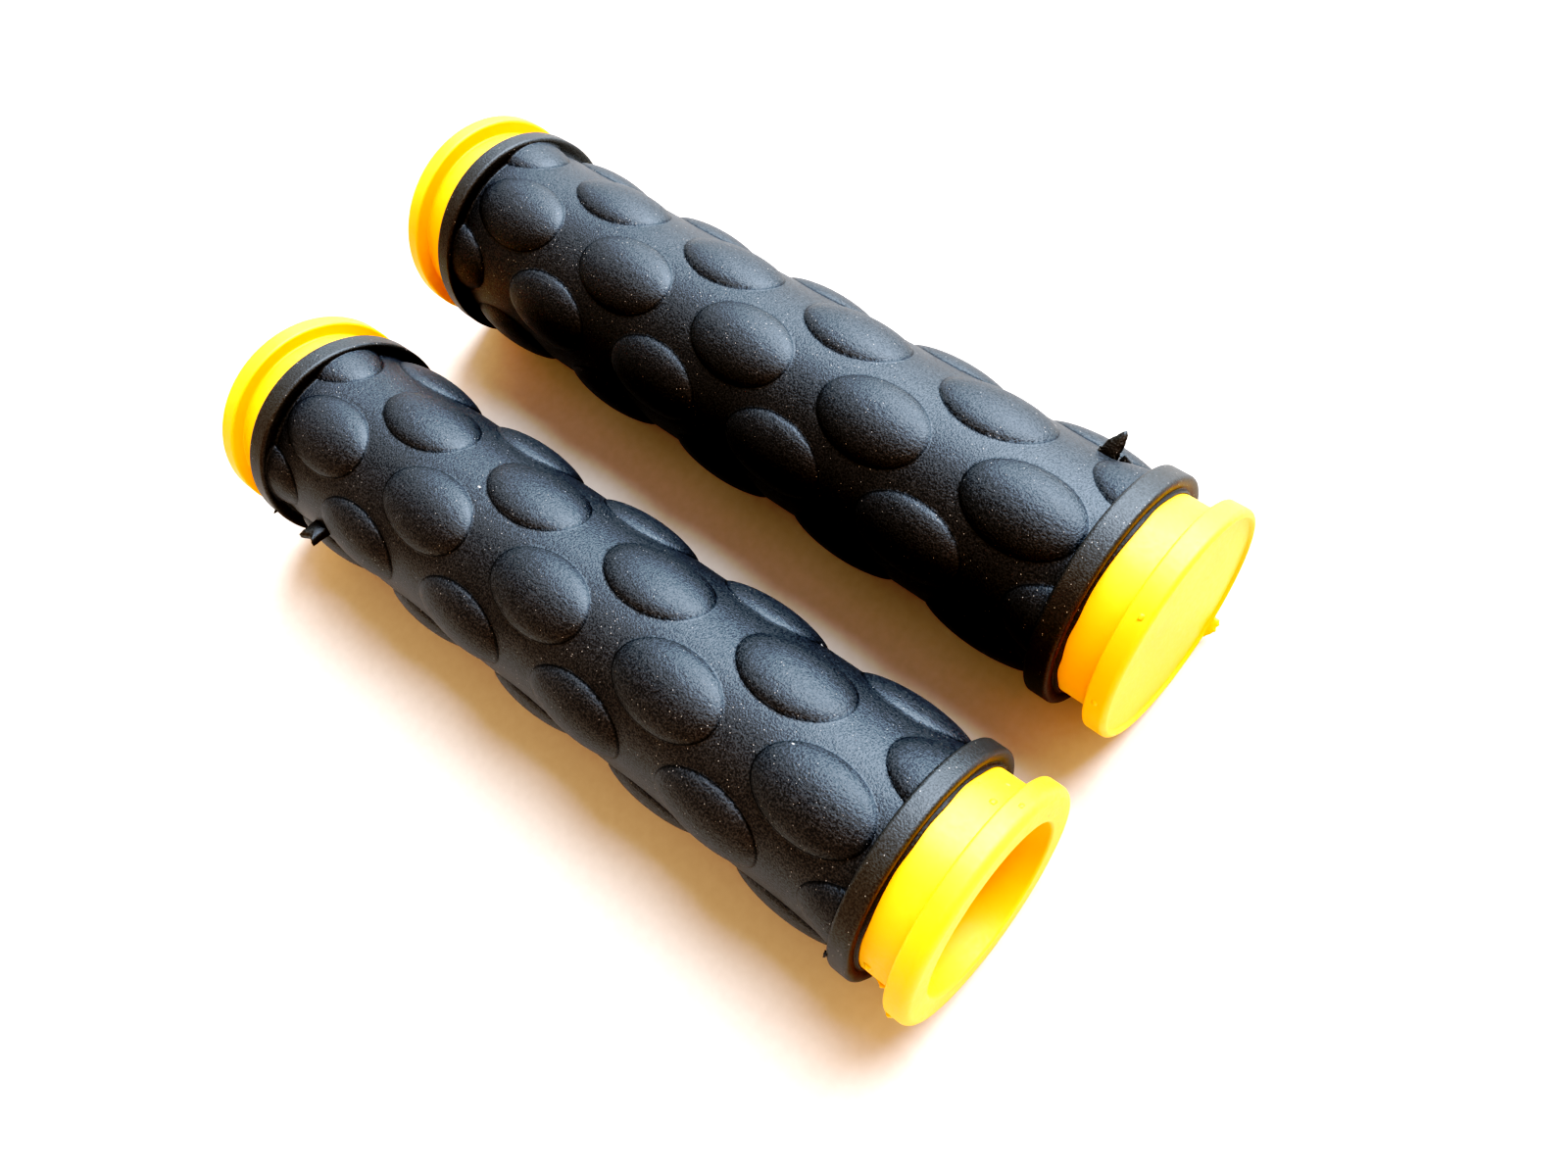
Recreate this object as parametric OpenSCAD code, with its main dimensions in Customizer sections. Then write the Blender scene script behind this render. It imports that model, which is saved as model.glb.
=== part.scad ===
// A pair of slip-on bicycle handlebar grips, lying side by side and facing opposite ways.
// Each grip is a two-shot moulding: a blind tubular core with a flange at both ends, and a
// rubber sleeve with a rim at both ends and staggered oval bumps, moulded over the core.
// Millimetres, +Z up. Each grip is drawn about its own Z axis, open end up, then laid down.

/* [Core] */
// Diameter of the blind bore that slips over the handlebar.
bore_d = 22; // [21:0.1:24]
// Diameter of the bore's mouth, where the lead-in chamfer meets the end face.
mouth_d = 23.5; // [22.5:0.1:26]
// Length of the lead-in chamfer.
lead_in = 1.5; // [0.5:0.1:4]
// Outside diameter of the tube under the sleeve.
tube_d = 25; // [23.6:0.1:27]
// Outside diameter of the neck between a flange and the sleeve.
neck_d = 27.7; // [26:0.1:30]
// Visible length of the neck at the open end.
open_neck = 5; // [2:0.1:10]
// Visible length of the neck at the closed end.
closed_neck = 4.8; // [2:0.1:10]
// Diameter of the flange at the open end.
open_flange_d = 32; // [28:0.1:40]
// Diameter of the flange at the closed end.
closed_flange_d = 31.6; // [28:0.1:40]
// Thickness of both flanges.
flange_t = 3.1; // [2:0.1:6]
// Thickness of the wall that closes the bore.
end_wall = 3.1; // [2:0.1:6]
// Rounding of the flange edges.
flange_edge = 0.8; // [0.3:0.1:1.2]
// Width of the raised edge round the dished face of the closed end.
face_rim = 1; // [0.8:0.1:3]
// Depth of that dish.
face_dish = 0.45; // [0.2:0.05:1]
// Length of the neck's collar that is hidden inside each end of the sleeve.
collar_seat = 1.5; // [0.5:0.1:2.5]

/* [Core gate] */
// Height of the torn gate left on the raised edge of the closed end.
core_gate_h = 1; // [0.5:0.1:3]
// Length of that gate round the edge.
core_gate_len = 2.4; // [1:0.1:4]
// Thickness of that gate.
core_gate_t = 0.8; // [0.5:0.1:1]
// Angle of the gate, measured from the first row of bumps.
core_gate_turn = 342; // [0:1:359]

/* [Sleeve] */
// Length of the sleeve over both rims.
sleeve_len = 114; // [90:1:130]
// Diameter of the sleeve between the bumps.
sleeve_d = 28; // [26:0.1:32]
// Diameter of the rims.
rim_d = 32; // [29:0.1:40]
// Thickness of the rim at the open end.
open_rim_t = 3; // [2:0.1:6]
// Thickness of the rim at the closed end.
closed_rim_t = 3.4; // [2:0.1:6]
// Rounding of the rim edges.
rim_edge = 0.5; // [0.2:0.1:1]
// Wall of the thin lip that stands round the neck at both ends.
lip_t = 0.4; // [0.2:0.05:1]
// Height of that lip.
lip_h = 0.5; // [0.2:0.05:1]

/* [Bumps] */
// Rows of bumps round the sleeve; every second row is shifted by half a pitch.
bump_rows = 8; // [4:2:12]
// Distance between bumps along a row.
bump_pitch = 22.5; // [18:0.1:28]
// Length of a bump along the grip.
bump_len = 16.5; // [8:0.1:18]
// Angle that a bump takes up round the sleeve.
bump_angle = 45.5; // [20:0.5:46]
// Height of a bump above the sleeve.
bump_h = 1.5; // [0.5:0.1:2]

/* [Sleeve gates] */
// Width of both torn gates along the sleeve.
gate_w = 2.9; // [1:0.1:3]
// Distance of the first grip's gate from the closed end of its sleeve.
gate_a_inset = 13.5; // [13:0.1:14.5]
// Angle of that gate, measured from the first row of bumps.
gate_a_turn = 242; // [240:1:244]
// Height of that gate.
gate_a_h = 2.8; // [0.5:0.1:5]
// Thickness of that gate.
gate_a_t = 1.4; // [0.5:0.1:2]
// Distance of the second grip's gate from the closed end of its sleeve.
gate_b_inset = 9.5; // [8:0.1:11]
// Angle of that gate, measured from the first row of bumps.
gate_b_turn = 239; // [236:1:244]
// Height of that gate.
gate_b_h = 3.4; // [0.5:0.1:5]
// Thickness of that gate.
gate_b_t = 0.7; // [0.5:0.1:2]

/* [Layout] */
// Distance between the two grips' axes at their middles.
spacing = 41.2; // [34:0.1:80]
// How far the second grip lies behind the first, along the grips.
stagger = 1; // [0:0.1:20]
// Angle between the two grips.
toe = 1.25; // [0:0.05:5]
// Turn of the first grip about its own axis.
turn_a = 12.7; // [-45:0.1:45]
// Turn of the second grip about its own axis.
turn_b = -9.7; // [-45:0.1:45]

/* [Hidden] */
$fn = 96;
bore_r = bore_d / 2;
mouth_r = mouth_d / 2;
tube_r = tube_d / 2;
neck_r = neck_d / 2;
open_flange_r = open_flange_d / 2;
sleeve_r = sleeve_d / 2;
rim_r = rim_d / 2;
half = sleeve_len / 2;
open_end = half + open_neck + flange_t;
closed_end = -half - closed_neck - flange_t;

// A bump is the cap of a spindle: a circular arc turned about an axis inside the sleeve. Its
// section across the grip meets the sleeve at half of bump_angle either side of the crest.
crest_r = sleeve_r + bump_h;
spindle_x = (pow(crest_r, 2) - pow(sleeve_r, 2)) / 2 / (crest_r - sleeve_r * cos(bump_angle / 2));
spindle_r = crest_r - spindle_x;
spindle_arc = (pow(bump_len / 2, 2) + pow(bump_h, 2)) / 2 / bump_h;
root_r = sleeve_r - 0.4;
clip_len = sleeve_len - 4;

// Outlines of the sleeve's torn gates: shares of their width and of their height.
stub_outline = [[-0.5, 0], [0.5, 0], [0.5, 0.95], [0.05, 0.8], [-0.45, 1]];
fin_outline = [
    [-0.5, 0], [0.5, 0], [0.24, 0.45], [-0.05, 0.78], [-0.24, 1], [-0.42, 0.9], [-0.47, 0.45],
];

// The core's torn gate is a small block on the raised edge round the dish.
dish_r = closed_flange_d / 2 - face_rim;
core_gate_in = dish_r + 0.1;
core_gate_out = core_gate_in + core_gate_t;
core_gate_angle = core_gate_turn + turn_b - 90;

// The pair is centred on the origin, with the rims standing on z = 0. The second grip sets
// its ends: its open flange on one side, and a corner of its core gate on the other.
reach_side = sin(toe) * (open_end - flange_edge) + open_flange_r * cos(toe);
reach_open = cos(toe) * (open_end - flange_edge) + sin(toe) * (open_flange_r - flange_edge) + flange_edge;
gate_side = max(-core_gate_in * cos(core_gate_angle), -core_gate_out * cos(core_gate_angle))
    + core_gate_len / 2 * abs(sin(core_gate_angle));
reach_gate = cos(toe) * (core_gate_h - closed_end) + sin(toe) * gate_side;
grip_b_x = (reach_open - reach_gate) / 2;
grip_a_x = grip_b_x + stagger;
grip_b_y = (spacing + open_flange_r - reach_side) / 2;
grip_a_y = grip_b_y - spacing;

CORE = [0.98, 0.86, 0.05];
SLEEVE = [0.13, 0.135, 0.145];

// Half section of a disc of radius r from z0 to z1, its rim rounded by e.
module disc_section(r, z0, z1, e) {
    translate([0, z0]) square([r - e, z1 - z0]);
    translate([0, z0 + e]) square([r, z1 - z0 - 2 * e]);
    for (z = [z0 + e, z1 - e]) translate([r - e, z]) circle(r = e);
}

// Half section of a plain cylinder of radius r from z0 to z1.
module bar_section(r, z0, z1) {
    translate([0, z0]) square([r, z1 - z0]);
}

module core_section() {
    difference() {
        union() {
            bar_section(tube_r, -half, half);
            bar_section(neck_r, half - collar_seat, open_end - flange_t / 2);
            bar_section(neck_r, closed_end + flange_t / 2, -half + collar_seat);
            disc_section(open_flange_r, open_end - flange_t, open_end, flange_edge);
            disc_section(closed_flange_d / 2, closed_end, closed_end + flange_t, flange_edge);
        }
        bar_section(bore_r, closed_end + end_wall, open_end + 1);
        bar_section(dish_r, closed_end - 1, closed_end + face_dish);
        polygon([
            [0, open_end - lead_in], [bore_r, open_end - lead_in],
            [mouth_r, open_end], [mouth_r, open_end + 1], [0, open_end + 1],
        ]);
    }
}

module core() {
    color(CORE) {
        rotate_extrude() core_section();
        rotate([0, 0, core_gate_turn])
            translate([core_gate_in, -core_gate_len / 2, closed_end - core_gate_h])
                cube([core_gate_t, core_gate_len, core_gate_h + 0.8]);
    }
}

module sleeve_section() {
    difference() {
        union() {
            bar_section(sleeve_r, -half, half);
            disc_section(rim_r, half - open_rim_t, half, rim_edge);
            disc_section(rim_r, -half, -half + closed_rim_t, rim_edge);
            bar_section(neck_r + lip_t, -half - lip_h, half + lip_h);
        }
        bar_section(tube_r, -half, half);
        bar_section(neck_r, half - collar_seat, half + 1);
        bar_section(neck_r, -half - 1, -half + collar_seat);
    }
}

module bump() {
    difference() {
        translate([spindle_x, 0, 0]) rotate_extrude() intersection() {
            translate([spindle_r - spindle_arc, 0]) circle(r = spindle_arc);
            translate([0, -bump_len]) square([spindle_r + 1, 2 * bump_len]);
        }
        cylinder(r = root_r, h = 3 * bump_len, center = true);
    }
}

// One row; a shifted row also has a bump at each end that the rim cuts short.
module bump_row(shifted) {
    count = shifted ? 4 : 5;
    for (i = [0 : count - 1]) translate([0, 0, (i - (count - 1) / 2) * bump_pitch]) bump();
    if (shifted) for (side = [-1, 1]) intersection() {
        translate([0, 0, side * 2.5 * bump_pitch]) bump();
        cube([2 * rim_d, 2 * rim_d, clip_len], center = true);
    }
}

// A flat torn gate standing on the sleeve, its outline seen from the side.
module sleeve_gate(outline, inset, turn, h, t) {
    tall = h + sleeve_r - root_r;
    rotate([0, 0, turn]) translate([root_r, 0, -half + inset]) rotate([90, 0, 0])
        linear_extrude(height = t, center = true)
            polygon([for (p = outline) [p[1] * tall, p[0] * gate_w]]);
}

module sleeve() {
    color(SLEEVE) {
        rotate_extrude() sleeve_section();
        for (i = [0 : bump_rows - 1]) rotate([0, 0, i * 360 / bump_rows]) bump_row(i % 2 == 1);
        children();
    }
}

// Lays a grip down at (x, y), its open end pointing along `heading`.
module lay(x, y, heading, turn) {
    translate([x, y, rim_r]) rotate([0, 0, heading]) rotate([0, 90, 0]) rotate([0, 0, turn]) children();
}

module lay_a() {
    lay(grip_a_x, grip_a_y, 0, turn_a) children();
}

module lay_b() {
    lay(grip_b_x, grip_b_y, 180 - toe, turn_b) children();
}

module core_a() {
    lay_a() core();
}

module sleeve_a() {
    lay_a() sleeve() sleeve_gate(stub_outline, gate_a_inset, gate_a_turn, gate_a_h, gate_a_t);
}

module core_b() {
    lay_b() core();
}

module sleeve_b() {
    lay_b() sleeve() sleeve_gate(fin_outline, gate_b_inset, gate_b_turn, gate_b_h, gate_b_t);
}

core_a();
sleeve_a();
core_b();
sleeve_b();
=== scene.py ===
"""Looks for a pair of slip-on bicycle handlebar grips: each has a yellow core and a black sleeve.

Every grip is modelled in its own frame, in millimetres: x runs along the grip towards its open
end, and angles go round it, 0 along its own +Y and 90 straight up. lay() puts it in the row frame.
The sizes repeat those of the CAD part.
"""

import math

import bpy
import numpy as np
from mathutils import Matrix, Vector


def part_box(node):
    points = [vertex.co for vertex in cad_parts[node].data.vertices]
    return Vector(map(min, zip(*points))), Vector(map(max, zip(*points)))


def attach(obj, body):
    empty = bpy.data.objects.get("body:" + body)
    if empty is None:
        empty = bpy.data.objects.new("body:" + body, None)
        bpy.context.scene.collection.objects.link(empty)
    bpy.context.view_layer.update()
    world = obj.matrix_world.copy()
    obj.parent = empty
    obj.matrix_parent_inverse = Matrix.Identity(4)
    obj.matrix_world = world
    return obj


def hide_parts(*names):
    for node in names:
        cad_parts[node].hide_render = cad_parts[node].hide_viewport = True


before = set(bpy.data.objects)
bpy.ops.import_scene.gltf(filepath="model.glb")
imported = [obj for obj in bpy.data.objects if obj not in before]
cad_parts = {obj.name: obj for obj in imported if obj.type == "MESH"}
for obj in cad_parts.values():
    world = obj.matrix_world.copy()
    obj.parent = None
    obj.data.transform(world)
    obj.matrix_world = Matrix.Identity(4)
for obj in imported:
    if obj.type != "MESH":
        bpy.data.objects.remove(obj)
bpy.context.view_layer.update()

# Core
BORE_R = 11.0
MOUTH_R = 11.75
TUBE_R = 12.5
NECK_R = 13.85
OPEN_FLANGE_R = 16.0
CLOSED_FLANGE_R = 15.8
FLANGE_T = 3.1
DISH_R = 14.8
DISH_DEPTH = 0.45
OPEN_END = 65.1
CLOSED_END = -64.9
END_WALL = 3.1
COLLAR_SEAT = 1.5
CORE_GATE_ANGLE = 252.0
CORE_GATE_R = 15.3
# Roundings of its edges: open and closed end, the flanges' inner edges and feet, mouth and end wall
OPEN_EDGE = 1.2
CLOSED_EDGE = 0.75
INNER_EDGE = 0.35
FOOT = 0.3
MOUTH_EDGE = 0.3
WALL_EDGE = 0.5
# How far in the mouth has narrowed to the bore
MOUTH_DEPTH = 4.5
# How much it is out of round where it shows
WOBBLE = 0.03
WOBBLE_SEED = 23

# Sleeve
HALF = 57.0
SLEEVE_R = 14.0
RIM_R = 16.0
OPEN_RIM_T = 3.0
CLOSED_RIM_T = 3.4
RIM_EDGE = 0.5
# Largest rounding where the surface between the rims meets them
RIM_FILLET = 0.35
LIP_T = 0.25
LIP_H = 0.5
CLOSED_LIP_SEED = 11
OPEN_LIP_SEED = 17

# Bumps: rows round the sleeve, every second one shifted by half a pitch
ROW_STEP = 45.0
BUMP_PITCH = 22.5
BUMP_HALF_LEN = 8.25
BUMP_HALF_ANGLE = 22.75
BUMP_H = 1.5
BUMP_ROUNDNESS = 0.75
# Bump distance of the parts that have no bumps; a bump's middle has 0 and its edge 1
NO_BUMP = 3.0

# Outlines of torn moulding, in millimetres across and up; what lies below 0 sinks into the grip
FIN = [(-1.4, -0.7), (1.45, -0.7), (1.4, 0), (1.0, 0.8), (0.75, 1.6), (0.1, 2.5)]
FIN += [(-0.45, 3.3), (-0.75, 3.5), (-1.15, 3.1), (-1.3, 1.6), (-1.35, 0.8)]
FLAP = [(-1.2, -0.6), (1.1, -0.6), (1.0, 0.3), (0.6, 1.0), (0.1, 0.75), (-1.1, 0.1)]
STUB = [(-1.5, -0.8), (1.5, -0.8), (1.55, 0), (1.45, 1.6), (1.55, 2.9), (0.8, 2.55)]
STUB += [(0.1, 2.4), (-0.6, 2.65), (-1.4, 3.0), (-1.5, 1.6), (-1.6, 0)]
CLOSED_SPUR = [(-0.5, -0.4), (0.5, -0.4), (0.1, 0.55)]
OPEN_SPUR = [(-0.4, -0.4), (0.5, -0.4), (0.0, 0.45)]
CORE_GATE = [(-1.4, -0.6), (1.6, -0.6), (1.6, 0.1), (0.6, 0.75), (0.35, 1.0), (-0.1, 0.75)]
CORE_GATE += [(-0.6, 0.95), (-1.2, 0.6)]

# Scraps on a sleeve; at is the place along it, the angle and the radius
SLEEVE_SCRAPS = {
    "a": [
        {"at": (-43.5, 164.5, SLEEVE_R), "outline": STUB, "thickness": 1.5, "seed": 7},
        {"at": (-54.4, 173.0, RIM_R), "outline": CLOSED_SPUR, "thickness": 0.3, "seed": 9},
        {"at": (54.1, 162.0, RIM_R), "outline": OPEN_SPUR, "thickness": 0.5, "seed": 13},
    ],
    "b": [
        {
            "at": (-47.5, 139.3, SLEEVE_R),
            "outline": FIN,
            "thickness": 0.7,
            "seed": 3,
            "lean": 0.15,
            "ragged": 0.07,
        },
        {"at": (-50.0, 141.5, SLEEVE_R), "outline": FLAP, "thickness": 0.4, "seed": 5},
    ],
}

# Crumbs of flash and bubbles on a core: their thickness and seed, and the place along it, angle,
# radius, half width and height of each
LUMP_T = 0.8
LUMP_SEED = 37
LUMPS = {
    "a": [
        (58.3, 164, NECK_R, 0.7, 0.35),
        (59.9, 180, NECK_R, 0.8, 0.45),
        (62.6, 178, OPEN_FLANGE_R, 0.6, 0.3),
        (60.5, 52, NECK_R, 0.4, 0.2),
        (63.6, 53, OPEN_FLANGE_R, 0.3, 0.15),
    ],
    "b": [(-63.6, 66, CLOSED_FLANGE_R, 0.3, 0.15), (-63.2, 20, CLOSED_FLANGE_R, 0.4, 0.2)],
}

# Mesh density: columns round a sleeve and a core, and the step along a sleeve
COLUMNS = 288
CORE_COLUMNS = 216
STEP = 0.4
# Rings close to a rim, by their distance from it, and where the even steps start
NEAR_RIM = [0, 0.07, 0.18, 0.32]
EVEN_FROM = 0.6
# Rings of a rim's profile that belong to its inner face
INNER_RINGS = 2
# Innermost ring of a core's end faces, which a fan closes
CAP_R = 1.0

# The picture's tone curve, from radiance to shown brightness: deep shades are pulled to black
TONE = [(0.05, 0.002), (0.08, 0.011), (0.12, 0.047), (0.2, 0.125), (0.275, 0.235), (0.46, 0.455)]

# How each grip lies: its heading, and the angle of its first row of bumps
GRIPS = {
    "a": {"heading": 0.0, "turn": 12.7},
    "b": {"heading": 178.75, "turn": -9.7},
}

# Camera, in metres, degrees and millimetres of lens
CAMERA_PLACE = (0.091603, -0.032814, 0.158872)
CAMERA_TURN = (24.6167, 14.4862, 39.3163)
CAMERA_LENS = 28.552

# The sun: the way to it, its strength, how wide it is in degrees, and its colour
SUN_TOWARDS = (0.0, 0.63, 0.77)
SUN_ENERGY = 11
SUN_WIDTH = 47
SUN_COLOUR = (0.79, 0.855, 1.0)

# The room: the ways to its warm lamp and to the sky in its window
LAMP_TOWARDS = (0.8, -0.5, 0.3)
SKY_TOWARDS = (-0.15, 0.97, 0.2)

FLOOR_R = 3.0


# ---------------------------------------------------------------- placing


def lay(grip, points):
    """Grip-frame millimetres to row-frame metres."""
    low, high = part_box("sleeve_" + grip)
    heading = math.radians(GRIPS[grip]["heading"])
    turn = np.array(
        [
            [math.cos(heading), -math.sin(heading), 0],
            [math.sin(heading), math.cos(heading), 0],
            [0, 0, 1],
        ]
    )
    middle = np.array([(low.x + high.x) / 2, (low.y + high.y) / 2, RIM_R / 1000])
    return points @ turn.T / 1000 + middle


def even_angles(columns):
    """The angles of columns spread evenly round a grip."""
    return np.arange(columns) * 360.0 / columns


def polar(x, angle, radius):
    """Points of the grip frame from their place along it, angle in degrees and radius."""
    a = np.radians(angle)
    return np.stack(np.broadcast_arrays(x, radius * np.cos(a), radius * np.sin(a)), axis=-1)


# ---------------------------------------------------------------- meshes


class Shells:
    """Closed shells gathered into one mesh."""

    def __init__(self):
        self.points, self.faces, self.values, self.count = [], [], [], 0

    def add(self, points, faces, value=NO_BUMP):
        self.points.append(points)
        self.faces += [[i + self.count for i in face] for face in faces]
        self.values.append(np.broadcast_to(value, len(points)))
        self.count += len(points)

    def build(self, name, grip, attribute=None):
        mesh = bpy.data.meshes.new(name)
        points = lay(grip, np.concatenate(self.points))
        mesh.from_pydata(points.tolist(), [], self.faces)
        if attribute:
            layer = mesh.attributes.new(attribute, "FLOAT", "POINT")
            layer.data.foreach_set("value", np.concatenate(self.values).astype(np.float32))
        mesh.validate()
        mesh.shade_smooth()
        piece = bpy.data.objects.new(name, mesh)
        bpy.context.scene.collection.objects.link(piece)
        return piece


def strip(rows, columns, wrap_rows=False):
    """Quads of a grid whose columns wrap round, facing outwards as x grows."""
    last = rows if wrap_rows else rows - 1
    faces = []
    for i in range(last):
        a, b = i * columns, (i + 1) % rows * columns
        for j in range(columns):
            k = (j + 1) % columns
            faces.append([a + j, a + k, b + k, b + j])
    return faces


def loft(rings):
    """A closed shell through rings of points, capped by a fan at both ends."""
    rows, columns = len(rings), len(rings[0])
    points = np.concatenate([*rings, [np.mean(rings[0], axis=0)], [np.mean(rings[-1], axis=0)]])
    faces = strip(rows, columns)
    first, last, top = rows * columns, rows * columns + 1, (rows - 1) * columns
    for j in range(columns):
        k = (j + 1) % columns
        faces.append([first, k, j])
        faces.append([last, top + j, top + k])
    return points, faces


def arc(cx, cr, radius, start, end, steps=5):
    """Profile points (x, r) of an arc; 0 degrees points along +x and 90 outwards."""
    angles = np.radians(np.linspace(start, end, steps))
    return [(cx + radius * math.cos(a), cr + radius * math.sin(a)) for a in angles]


def held(points, step, hold):
    """A profile with every long straight stretch cut up, and a point held close to its ends."""
    out = [points[0]]
    for (x0, r0), (x1, r1) in zip(points, points[1:]):
        length = math.hypot(x1 - x0, r1 - r0)
        marks = []
        if length > 4 * hold:
            inner = np.linspace(hold, length - hold, max(2, round((length - 2 * hold) / step) + 1))
            marks = [m / length for m in inner]
        out += [(x0 + (x1 - x0) * t, r0 + (r1 - r0) * t) for t in marks] + [(x1, r1)]
    return out


def waves(angle, seed, terms=6, first=1):
    """A smooth closed wave round the grip, about -1 to 1."""
    rng = np.random.default_rng(seed)
    total = np.zeros_like(angle, dtype=float)
    for n in range(first, first + terms):
        total += rng.uniform(0.4, 1) * np.cos(np.radians(n * angle) + rng.uniform(0, 2 * math.pi))
    return total / math.sqrt(terms)


# ---------------------------------------------------------------- sleeve


def nearest_bump(x, angle, turn):
    """Offsets (u, v) from the nearest bump's middle; their length is 1 at the bump's edge."""
    best = None
    lower = np.floor((angle - turn) / ROW_STEP)
    for row in (lower, lower + 1):
        shift = np.where(row % 2 == 0, 0.0, 0.5)
        u = (x - (np.round(x / BUMP_PITCH - shift) + shift) * BUMP_PITCH) / BUMP_HALF_LEN
        v = (angle - turn - row * ROW_STEP) / BUMP_HALF_ANGLE
        if best is None:
            best = (u, v)
        else:
            nearer = np.hypot(u, v) < np.hypot(*best)
            best = (np.where(nearer, u, best[0]), np.where(nearer, v, best[1]))
    return best


def snap_to_edges(x, angle, turn):
    """Moves the grid points beside a bump's edge onto it; returns the grid and those points."""
    u, v = nearest_bump(x, angle, turn)
    off = np.hypot(u, v) - 1
    chosen = np.zeros(off.shape, bool)
    for axis in (0, 1):
        after = np.roll(off, -1, axis)
        crosses = off * after < 0
        if axis == 0:
            crosses[-1] = False
        here = crosses & (np.abs(off) <= np.abs(after))
        there = crosses & ~here
        chosen |= here | np.roll(there, 1, axis)
    scale = np.where(chosen, 1 / (off + 1), 1.0)
    new_u, new_v = u * scale, v * scale
    # the first and last rows meet the rims, so their points move only round the grip
    for end in (0, -1):
        new_u[end] = u[end]
        flat = np.sign(v[end]) * np.sqrt(np.clip(1 - u[end] ** 2, 0, None))
        new_v[end] = np.where(chosen[end], flat, v[end])
    return x + (new_u - u) * BUMP_HALF_LEN, angle + (new_v - v) * BUMP_HALF_ANGLE, chosen


def sleeve_surface(turn):
    """Grid of the bumpy surface between the rims: x, angle, radius, bump distance, edge points."""
    start, end = -HALF + CLOSED_RIM_T, HALF - OPEN_RIM_T
    steps = round((end - start - 2 * EVEN_FROM) / STEP)
    middle = np.linspace(start + EVEN_FROM, end - EVEN_FROM, steps + 1)
    along = np.concatenate([start + np.array(NEAR_RIM), middle, end - np.array(NEAR_RIM[::-1])])
    x, angle = np.meshgrid(along, even_angles(COLUMNS), indexing="ij")
    x, angle, edges = snap_to_edges(x, angle, turn)
    u, v = nearest_bump(x, angle, turn)
    away = np.where(edges, 1.0, np.hypot(u, v))
    radius = SLEEVE_R + BUMP_H * np.clip(1 - away**2, 0, None) ** BUMP_ROUNDNESS
    fillet = np.clip((RIM_R - RIM_EDGE - radius) * 0.5, 0, RIM_FILLET)
    for distance in (x - start, end - x):
        inside = np.clip(fillet - distance, 0, None)
        rise = fillet - np.sqrt(np.clip(fillet**2 - inside**2, 0, None))
        radius += np.where(fillet > 0, rise, 0)
    return x, angle, radius, away, edges


def rim_profile(side, inner_x, inner_r, angle, seed):
    """Rings (x, r) from a rim's inner face over the rim and the lip down to the hidden seat."""
    face = side * HALF
    e = RIM_EDGE
    # rings this close to the rim's roundings keep its edge flat between them
    hold = 0.12
    # the lip's edge is uneven, in long waves and short ones
    wave = waves(angle, seed)
    fine = waves(angle, seed + 1, terms=14, first=4)
    lip = LIP_H * (0.5 + 0.12 * wave + 0.18 * fine)
    shift = 0.035 * fine
    rings = [(inner_x, inner_r + (RIM_R - e - inner_r) * t) for t in (0.4, 1.0)]
    for a in (25, 50, 75, 90):
        t = math.radians(a)
        rings.append((inner_x + side * e * (1 - math.cos(t)), RIM_R - e + e * math.sin(t)))
    rings.append((inner_x + side * (e + hold), RIM_R))
    rings.append((face - side * (e + hold), RIM_R))
    for a in (0, 22, 45, 68, 90):
        t = math.radians(a)
        rings.append((face - side * e * (1 - math.sin(t)), RIM_R - e + e * math.cos(t)))
    outer = NECK_R + LIP_T
    rings += [
        # the rim's face, and the shallow groove between it and the lip
        (face, RIM_R - e - 0.15),
        (face - side * 0.02, outer + 0.75 + shift),
        (face - side * 0.2, outer + 0.4 + shift),
        (face - side * 0.3, outer + 0.15 + shift),
        (face - side * 0.1, outer + 0.04 + shift),
        # the lip, outside and inside
        (face + side * 0.7 * lip, outer - 0.02 + shift),
        (face + side * 0.95 * lip, outer - 0.12 + shift),
        (face + side * 0.95 * lip, NECK_R + 0.1),
        (face + side * 0.7 * lip, NECK_R + 0.02),
        # hidden between sleeve and core
        (face - side * COLLAR_SEAT, NECK_R + 0.02),
        (face - side * COLLAR_SEAT, TUBE_R + 0.01),
    ]
    return rings


def rim_rings(profile, pulled):
    """A rim's points. Its inner face keeps to the columns that the bumps have pulled aside."""
    even = even_angles(COLUMNS)
    return [polar(x, pulled if i < INNER_RINGS else even, r) for i, (x, r) in enumerate(profile)]


def add_sleeve(shells, turn):
    """The sleeve as one closed shell: out along the bumps, and back along its inside."""
    x, angle, radius, away, edges = sleeve_surface(turn)
    closed = rim_profile(-1, x[0], radius[0], angle[0], CLOSED_LIP_SEED)
    opened = rim_profile(1, x[-1], radius[-1], angle[-1], OPEN_LIP_SEED)
    rings = rim_rings(closed, angle[0])[::-1]
    first = len(rings)
    rings += [polar(x[i], angle[i], radius[i]) for i in range(len(x))]
    rings += rim_rings(opened, angle[-1])
    points = np.concatenate(rings)
    values = np.full(len(points), NO_BUMP)
    values[first * COLUMNS : (first + len(x)) * COLUMNS] = away.ravel()
    faces = strip(len(rings), COLUMNS, wrap_rows=True)
    shells.add(points, split_on_edges(faces, edges, first), values)


def split_on_edges(faces, edges, first):
    """Cuts a quad in two where a bump's edge runs from one of its corners to the opposite one."""
    on_edge = set((np.flatnonzero(edges.ravel()) + first * COLUMNS).tolist())
    out = []
    for a, b, c, d in faces:
        if a in on_edge and c in on_edge:
            out += [[a, b, c], [a, c, d]]
        elif b in on_edge and d in on_edge:
            out += [[a, b, d], [b, c, d]]
        else:
            out.append([a, b, c, d])
    return out


# ---------------------------------------------------------------- torn gates and flash


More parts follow.
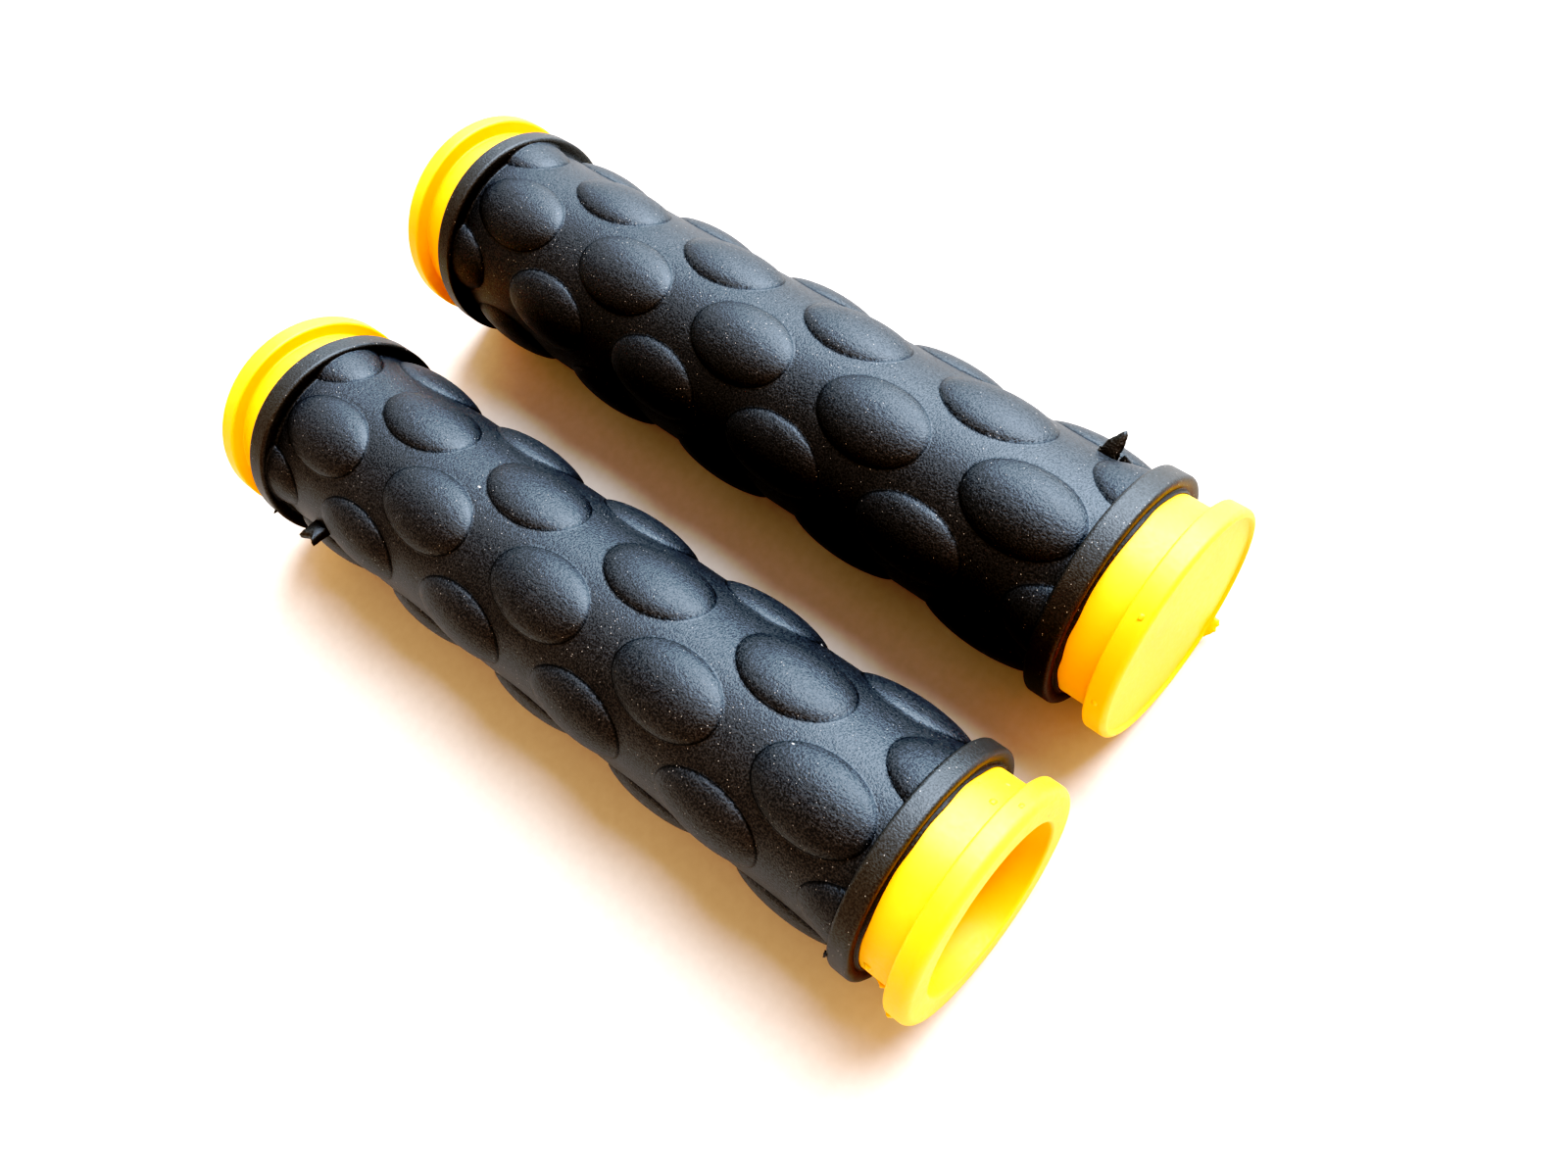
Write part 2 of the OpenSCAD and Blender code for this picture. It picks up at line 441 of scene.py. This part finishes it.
def surface_frame(x, angle, radius):
    """A point of the grip's surface, with its directions along the grip, round it and outwards."""
    a = math.radians(angle)
    out = np.array([0, math.cos(a), math.sin(a)])
    around = np.array([0, -math.sin(a), math.cos(a)])
    return np.array([x, *(radius * out[1:])]), np.array([1.0, 0, 0]), around, out


def scrap(place, across, up, outline, thickness, seed, ragged):
    """A torn scrap of moulding: an outline, in millimetres across and up, given a thickness."""
    rng = np.random.default_rng(seed)
    through = np.cross(across, up)
    corners = np.array(outline + outline[:1], dtype=float)
    sides = []
    for a, b in zip(corners, corners[1:]):
        steps = max(2, round(np.hypot(*(b - a)) / 0.25))
        sides.append(np.linspace(a, b, steps, endpoint=False))
    edge = np.concatenate(sides)
    edge += rng.uniform(-ragged, ragged, edge.shape)
    middle = edge.mean(axis=0)
    rings = []
    for share, size in ((-0.5, 0.8), (-0.25, 1.0), (0.25, 1.0), (0.5, 0.8)):
        flat = middle + (edge - middle) * size
        depth = share * thickness + rng.uniform(-ragged, ragged, len(edge))
        sheet = place + np.outer(flat[:, 0], across) + np.outer(flat[:, 1], up)
        rings.append(sheet + np.outer(depth, through))
    return loft(rings)


def add_scrap(shells, at, outline, thickness, seed, lean=0.0, ragged=0.05):
    """A scrap that stands on the side of the grip, spread along it; lean tips it round the grip."""
    place, along, around, out = surface_frame(*at)
    shells.add(*scrap(place, along, out + lean * around, outline, thickness, seed, ragged))


# ---------------------------------------------------------------- core


def core_profile():
    """The core's profile (x, r), from the middle of its closed face round to its bore's end."""
    closed_inner = CLOSED_END + FLANGE_T
    open_inner = OPEN_END - FLANGE_T
    wall = CLOSED_END + END_WALL
    dish = CLOSED_END + DISH_DEPTH
    outside = (
        [(dish, CAP_R), (dish, DISH_R - 0.2), (dish - 0.06, DISH_R - 0.06)]
        + [(CLOSED_END + 0.12, DISH_R + 0.04), (CLOSED_END + 0.03, DISH_R + 0.12)]
        + arc(CLOSED_END + CLOSED_EDGE, CLOSED_FLANGE_R - CLOSED_EDGE, CLOSED_EDGE, 180, 90, 8)
        + arc(closed_inner - INNER_EDGE, CLOSED_FLANGE_R - INNER_EDGE, INNER_EDGE, 90, 0)
        + arc(closed_inner + FOOT, NECK_R + FOOT, FOOT, 180, 270)
        + [(-HALF + COLLAR_SEAT, NECK_R), (-HALF + COLLAR_SEAT, TUBE_R)]
        + [(HALF - COLLAR_SEAT, TUBE_R), (HALF - COLLAR_SEAT, NECK_R)]
        + arc(open_inner - FOOT, NECK_R + FOOT, FOOT, 270, 360)
        + arc(open_inner + INNER_EDGE, OPEN_FLANGE_R - INNER_EDGE, INNER_EDGE, 180, 90)
        + arc(OPEN_END - OPEN_EDGE, OPEN_FLANGE_R - OPEN_EDGE, OPEN_EDGE, 90, 0, 8)
    )
    ease = [0.5 + 0.5 * math.cos(math.pi * t) for t in np.linspace(0.15, 1, 9)]
    depth = np.linspace(MOUTH_EDGE, MOUTH_DEPTH, 9)
    inside = (
        arc(OPEN_END - MOUTH_EDGE, MOUTH_R + MOUTH_EDGE, MOUTH_EDGE, 0, -70)
        + [(OPEN_END - d, BORE_R + (MOUTH_R - BORE_R) * e) for d, e in zip(depth, ease)]
        + arc(wall + WALL_EDGE, BORE_R - WALL_EDGE, WALL_EDGE, 90, 180)
        + [(wall, CAP_R)]
    )
    return held(outside + inside, step=2.0, hold=0.1)


def add_core(shells):
    """The core as one closed shell, a little out of round where it shows."""
    angle = even_angles(CORE_COLUMNS)
    rings = []
    for x, r in core_profile():
        hidden = BORE_R + 1 < r < NECK_R - 0.1
        out_of_round = WOBBLE * waves(angle + 3 * x, WOBBLE_SEED) * min(1, r / BORE_R)
        rings.append(polar(x, angle, r if hidden else r + out_of_round))
    shells.add(*loft(rings))


def add_core_scraps(shells, grip):
    """The torn gate on the closed face, and the lumps."""
    gate_angle = CORE_GATE_ANGLE + GRIPS[grip]["turn"]
    place, along, around, _ = surface_frame(CLOSED_END, gate_angle, CORE_GATE_R)
    shells.add(*scrap(place, around, -along, CORE_GATE, thickness=0.6, seed=31, ragged=0.06))
    for x, angle, radius, wide, high in LUMPS[grip]:
        lump = [(-wide, -0.5), (wide, -0.5), (wide * 0.8, high * 0.4), (0.1, high), (-wide, 0)]
        add_scrap(shells, (x, angle, radius), lump, LUMP_T, LUMP_SEED)


# ---------------------------------------------------------------- materials


class Nodes:
    """Short words for building the nodes of a new material or world."""

    def __init__(self, owner):
        owner.use_nodes = True
        self.owner, self.tree = owner, owner.node_tree
        self.shader = self.tree.nodes.get("Principled BSDF")

    def add(self, kind, inputs=None, **settings):
        made = self.tree.nodes.new("ShaderNode" + kind)
        for key, value in settings.items():
            setattr(made, key, value)
        for key, value in (inputs or {}).items():
            self.put(value, made.inputs[key])
        return made

    def put(self, value, socket):
        if isinstance(value, bpy.types.NodeSocket):
            self.tree.links.new(value, socket)
        else:
            socket.default_value = value

    def math(self, operation, a, b=0.0):
        return self.add("Math", {0: a, 1: b}, operation=operation).outputs[0]

    def ramp(self, value, low, high, start=0.0, end=1.0):
        inputs = {"Value": value, "From Min": low, "From Max": high, "To Min": start, "To Max": end}
        return self.add("MapRange", inputs, clamp=True).outputs["Result"]

    def mix(self, factor, a, b):
        made = self.add("Mix", data_type="RGBA")
        self.put(factor, made.inputs[0])
        self.put(a, made.inputs[6])
        self.put(b, made.inputs[7])
        return made.outputs[2]

    def noise(self, where, scale, detail=2.0, roughness=0.5):
        inputs = {"Vector": where, "Scale": scale, "Detail": detail, "Roughness": roughness}
        return self.add("TexNoise", inputs).outputs["Fac"]

    def bump(self, height, distance, strength, under=None):
        inputs = {"Height": height, "Distance": distance, "Strength": strength}
        if under is not None:
            inputs["Normal"] = under
        return self.add("Bump", inputs).outputs["Normal"]

    def specks(self, where, scale, size, share):
        """Sparse small dots: a share of the cells holds one."""
        cells = self.add("TexVoronoi", {"Vector": where, "Scale": scale})
        near = self.ramp(cells.outputs["Distance"], size * 0.6, size, start=1.0, end=0.0)
        pick = self.add("SeparateColor", {"Color": cells.outputs["Color"]}).outputs["Red"]
        return self.math("MULTIPLY", near, self.math("LESS_THAN", pick, share))


def rgb(r, g, b):
    return (r, g, b, 1.0)


RUBBER = rgb(0.006, 0.006, 0.006)
RUBBER_GRAIN = rgb(0.013, 0.013, 0.013)
RUBBER_BLOOM = rgb(0.02, 0.02, 0.02)
# painted glow: the rims' warm tint stands in for yellow light bounced off the core
RUBBER_RIM_GLOW_PAINTED = rgb(0.02, 0.018, 0.014)
# painted shade: the dark in the crease round each bump
RUBBER_CREASE_SHADE = rgb(0.002, 0.002, 0.002)
RUBBER_GLINT = rgb(0.8, 0.93, 1.0)
DUST = rgb(0.42, 0.4, 0.36)

YELLOW = rgb(1.0, 0.48, 0.02)
YELLOW_PALE = rgb(1.0, 0.53, 0.03)
PIMPLE = rgb(1.0, 0.75, 0.25)
GRIME = rgb(0.3, 0.12, 0.01)

CARD = rgb(0.6, 0.57, 0.51)
CARD_FIBRE = rgb(0.63, 0.6, 0.54)

ROOM = rgb(0.72, 0.68, 0.64)
ROOM_LAMP = rgb(1.48, 0.86, 0.43)
ROOM_SKY = rgb(2.6, 3.0, 3.4)
BACKDROP = rgb(1.0, 1.0, 1.0)


def rubber_material():
    """Matt black rubber: stippled, dusty, wrinkled on its bumps, with painted shade in the crease
    round each.
    """
    n = Nodes(bpy.data.materials.new("black_rubber"))
    where = n.add("TexCoord").outputs["Object"]
    stretched = n.add("Mapping", {"Vector": where, "Scale": (0.5, 1.0, 1.0)}).outputs["Vector"]
    # 0 in a bump's middle, 1 at its edge, and NO_BUMP on the rims
    distance = n.add("Attribute", attribute_name="bump_distance").outputs["Fac"]
    on_bump = n.ramp(distance, 0.97, 0.8)
    on_rim = n.ramp(distance, 2.0, 2.5)
    # a thin ring just inside each bump's edge, where painted shade goes: darker colour and less
    # shine
    crease = n.math("MINIMUM", n.ramp(distance, 0.955, 0.99), n.ramp(distance, 1.01, 1.0))

    stipple = n.noise(where, scale=4000, detail=1.0)
    wrinkles = n.noise(stretched, scale=2000, detail=3.0, roughness=0.6)
    cloud = n.noise(where, scale=90, detail=3.0)
    colour = n.mix(n.ramp(stipple, 0.35, 0.7), RUBBER, RUBBER_GRAIN)
    colour = n.mix(n.ramp(cloud, 0.35, 0.75, start=0.0, end=0.3), colour, RUBBER_BLOOM)
    # painted warm glow on the rims, as if bounced off the yellow core
    colour = n.mix(on_rim, colour, RUBBER_RIM_GLOW_PAINTED)
    # painted shade in the crease round each bump
    colour = n.mix(n.math("MULTIPLY", crease, 0.8), colour, RUBBER_CREASE_SHADE)

    dusty = n.math("MAXIMUM", n.ramp(cloud, 0.3, 0.6), on_rim)
    dust = n.math("MULTIPLY", n.specks(where, scale=1900, size=0.15, share=0.22), dusty)
    dust = n.math("MAXIMUM", dust, n.specks(stretched, scale=450, size=0.07, share=0.05))
    colour = n.mix(n.math("MULTIPLY", dust, 0.8), colour, DUST)
    n.put(colour, n.shader.inputs["Base Color"])

    rough = n.ramp(stipple, 0.3, 0.7, start=0.5, end=0.6)
    rough = n.math("ADD", rough, n.math("MULTIPLY", on_bump, 0.04))
    n.put(rough, n.shader.inputs["Roughness"])

    shine = n.ramp(stipple, 0.35, 0.65, start=0.5, end=0.88)
    # the crease's painted shade also dims the shine there
    shine = n.math("MULTIPLY", shine, n.ramp(crease, 0.0, 1.0, start=1.0, end=0.62))
    shine = n.math("MULTIPLY", shine, n.ramp(on_rim, 0.0, 1.0, start=1.0, end=0.88))
    n.put(shine, n.shader.inputs["Specular IOR Level"])
    n.shader.inputs["Specular Tint"].default_value = RUBBER_GLINT

    grain = n.bump(stipple, distance=0.00007, strength=0.8)
    wrinkled = n.math("MULTIPLY", wrinkles, on_bump)
    skin = n.bump(wrinkled, distance=0.0001, strength=0.7, under=grain)
    n.put(skin, n.shader.inputs["Normal"])
    return n.owner


def plastic_material():
    """Yellow plastic that light sinks into a little, with tiny pimples and specks of grime."""
    n = Nodes(bpy.data.materials.new("yellow_plastic"))
    where = n.add("TexCoord").outputs["Object"]
    slow = n.noise(where, scale=120, detail=2.0)
    fine = n.noise(where, scale=1800, detail=2.0)
    colour = n.mix(n.ramp(slow, 0.3, 0.7), YELLOW, YELLOW_PALE)
    pimples = n.specks(where, scale=330, size=0.1, share=0.1)
    colour = n.mix(n.math("MULTIPLY", pimples, 0.3), colour, PIMPLE)
    grime = n.specks(where, scale=410, size=0.11, share=0.12)
    colour = n.mix(n.math("MULTIPLY", grime, 0.8), colour, GRIME)
    n.put(colour, n.shader.inputs["Base Color"])

    n.put(n.ramp(fine, 0.3, 0.7, start=0.5, end=0.6), n.shader.inputs["Roughness"])
    n.shader.inputs["Specular IOR Level"].default_value = 0.5
    n.shader.inputs["Subsurface Weight"].default_value = 0.3
    n.shader.inputs["Subsurface Radius"].default_value = (1.0, 0.5, 0.1)
    n.shader.inputs["Subsurface Scale"].default_value = 0.0015

    wavy = n.bump(slow, distance=0.0006, strength=0.25)
    pimpled = n.math("ADD", fine, n.math("MULTIPLY", pimples, 2.0))
    skin = n.bump(pimpled, distance=0.00003, strength=0.4, under=wavy)
    n.put(skin, n.shader.inputs["Normal"])
    return n.owner


def floor_material():
    n = Nodes(bpy.data.materials.new("pale_card"))
    where = n.add("TexCoord").outputs["Object"]
    fibres = n.noise(where, scale=700, detail=3.0)
    n.put(n.mix(n.ramp(fibres, 0.3, 0.7), CARD, CARD_FIBRE), n.shader.inputs["Base Color"])
    n.put(n.ramp(fibres, 0.3, 0.7, start=0.7, end=0.8), n.shader.inputs["Roughness"])
    n.shader.inputs["Specular IOR Level"].default_value = 0.2
    return n.owner


# ---------------------------------------------------------------- stage


def make_camera():
    data = bpy.data.cameras.new("camera")
    data.sensor_width = 36
    data.lens = CAMERA_LENS
    data.clip_start, data.clip_end = 0.005, 20
    camera = bpy.data.objects.new("camera", data)
    camera.location = CAMERA_PLACE
    camera.rotation_euler = [math.radians(a) for a in CAMERA_TURN]
    bpy.context.scene.collection.objects.link(camera)
    bpy.context.scene.camera = camera


def make_floor():
    mesh = bpy.data.meshes.new("floor")
    turns = np.linspace(0, 2 * math.pi, 97)[:-1]
    ring = [(FLOOR_R * math.cos(a), FLOOR_R * math.sin(a), 0) for a in turns]
    mesh.from_pydata(ring, [], [list(range(len(ring)))])
    mesh.materials.append(floor_material())
    floor = bpy.data.objects.new("floor", mesh)
    bpy.context.scene.collection.objects.link(floor)


def make_sun():
    data = bpy.data.lights.new("window", "SUN")
    data.energy = SUN_ENERGY
    data.angle = math.radians(SUN_WIDTH)
    data.color = SUN_COLOUR
    sun = bpy.data.objects.new("window", data)
    sun.rotation_euler = Vector(SUN_TOWARDS).to_track_quat("Z", "Y").to_euler()
    bpy.context.scene.collection.objects.link(sun)


def make_room():
    """Soft light from all round, warm on the lamp's side; the camera itself sees plain white."""
    n = Nodes(bpy.data.worlds.new("room"))
    where = n.add("TexCoord").outputs["Generated"]
    lamp_side = n.add("VectorMath", {0: where, 1: LAMP_TOWARDS}, operation="DOT_PRODUCT")
    sky_side = n.add("VectorMath", {0: where, 1: SKY_TOWARDS}, operation="DOT_PRODUCT")
    lamp = n.ramp(lamp_side.outputs["Value"], -0.6, 0.9)
    sky = n.ramp(sky_side.outputs["Value"], 0.45, 1.0)
    colour = n.mix(sky, n.mix(lamp, ROOM, ROOM_LAMP), ROOM_SKY)
    room = n.add("Background", {"Color": colour}).outputs["Background"]
    backdrop = n.add("Background", {"Color": BACKDROP}).outputs["Background"]
    seen = n.add("LightPath").outputs["Is Camera Ray"]
    shown = n.add("MixShader", {0: seen, 1: room, 2: backdrop}).outputs["Shader"]
    n.put(shown, n.tree.nodes["World Output"].inputs["Surface"])
    bpy.context.scene.world = n.owner


def make_tone():
    """The hard contrast of an over-exposed picture."""
    view = bpy.context.scene.view_settings
    view.view_transform = "Standard"
    view.use_curve_mapping = True
    combined = 3
    curve = view.curve_mapping.curves[combined]
    for shade, shown in TONE:
        curve.points.new(shade, shown)
    view.curve_mapping.update()


# ---------------------------------------------------------------- assembly


def make_grip(grip, rubber, plastic):
    body = "grip_" + grip
    sleeve = Shells()
    add_sleeve(sleeve, GRIPS[grip]["turn"])
    for each in SLEEVE_SCRAPS[grip]:
        add_scrap(sleeve, **each)
    core = Shells()
    add_core(core)
    add_core_scraps(core, grip)
    for shells, node, slot, material in (
        (sleeve, "sleeve_" + grip, "sleeve", rubber),
        (core, "core_" + grip, "core", plastic),
    ):
        attribute = "bump_distance" if slot == "sleeve" else None
        piece = shells.build(node + "_detailed", grip, attribute)
        piece.data.materials.append(material)
        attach(piece, body)
        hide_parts(node)


make_camera()
make_floor()
make_sun()
make_room()
make_tone()
rubber, plastic = rubber_material(), plastic_material()
for name in GRIPS:
    make_grip(name, rubber, plastic)
